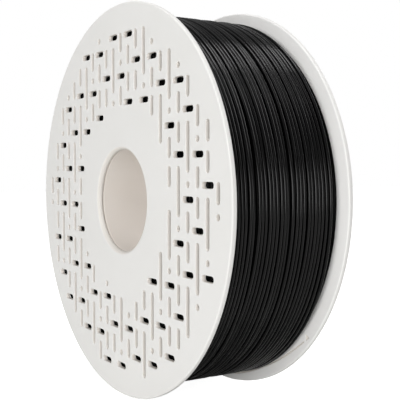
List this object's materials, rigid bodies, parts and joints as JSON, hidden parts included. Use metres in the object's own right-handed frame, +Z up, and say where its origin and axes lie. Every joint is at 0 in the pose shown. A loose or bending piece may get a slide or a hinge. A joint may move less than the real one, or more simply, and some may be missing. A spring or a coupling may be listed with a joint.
{
  "type": "filament spool",
  "caption": "Filament spool: slotted white flanges snapped onto a hollow ribbed hub, wound nearly full of black 3-D printing filament.",
  "frame": {"origin": "middle of the spindle bore, halfway between the flanges", "axes": "+Y along the bore from the front flange to the rear flange, +Z up, +X to the right seen from the front"},
  "size_m": [0.2, 0.067, 0.2],
  "materials": {
    "flange_plastic": "fine satin moulded surface",
    "hub_plastic": "smooth moulded surface",
    "filament_plastic": "extruded, slightly glossy"
  },
  "bodies": {
    "root": {"front_flange": "flange_plastic", "rear_flange": "flange_plastic", "hub": "hub_plastic", "filament_layers": "filament_plastic", "filament_outer_layer": "filament_plastic"}
  },
  "joints": []
}
